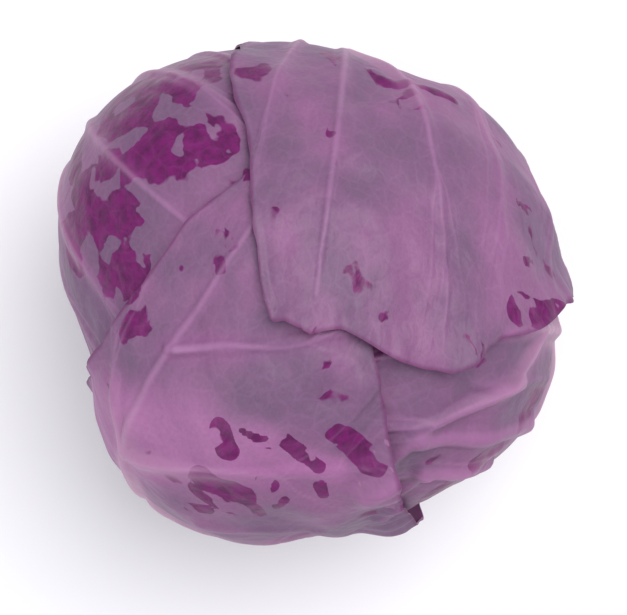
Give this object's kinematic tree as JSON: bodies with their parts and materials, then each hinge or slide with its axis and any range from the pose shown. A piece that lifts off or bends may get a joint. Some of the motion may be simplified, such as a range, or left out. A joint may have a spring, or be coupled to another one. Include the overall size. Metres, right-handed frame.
{
  "type": "red cabbage",
  "caption": "Round red cabbage head standing on its cut stalk, with waxy ribbed wrapper leaves folded over one another around a packed heart.",
  "frame": {"origin": "centre of the stalk's flat cut face, on which the head stands", "axes": "+Z up along the stalk towards the crown; seen from above with +Y up, the outermost leaf is at the top, its midrib at a bearing of about 84 degrees from +X"},
  "size_m": [0.137, 0.135, 0.1238],
  "materials": {
    "leaf": "waxy leaf skin, satin, with a pale hazy bloom and pale ribs",
    "inner_leaf": "satin leaf skin without bloom",
    "stalk": "matte, pale fibrous flesh"
  },
  "bodies": {
    "root": {"stalk": "stalk", "heart": "inner_leaf", "leaf_1": "leaf", "leaf_2": "leaf", "leaf_3": "leaf", "leaf_4": "leaf", "leaf_5": "leaf"}
  },
  "joints": []
}
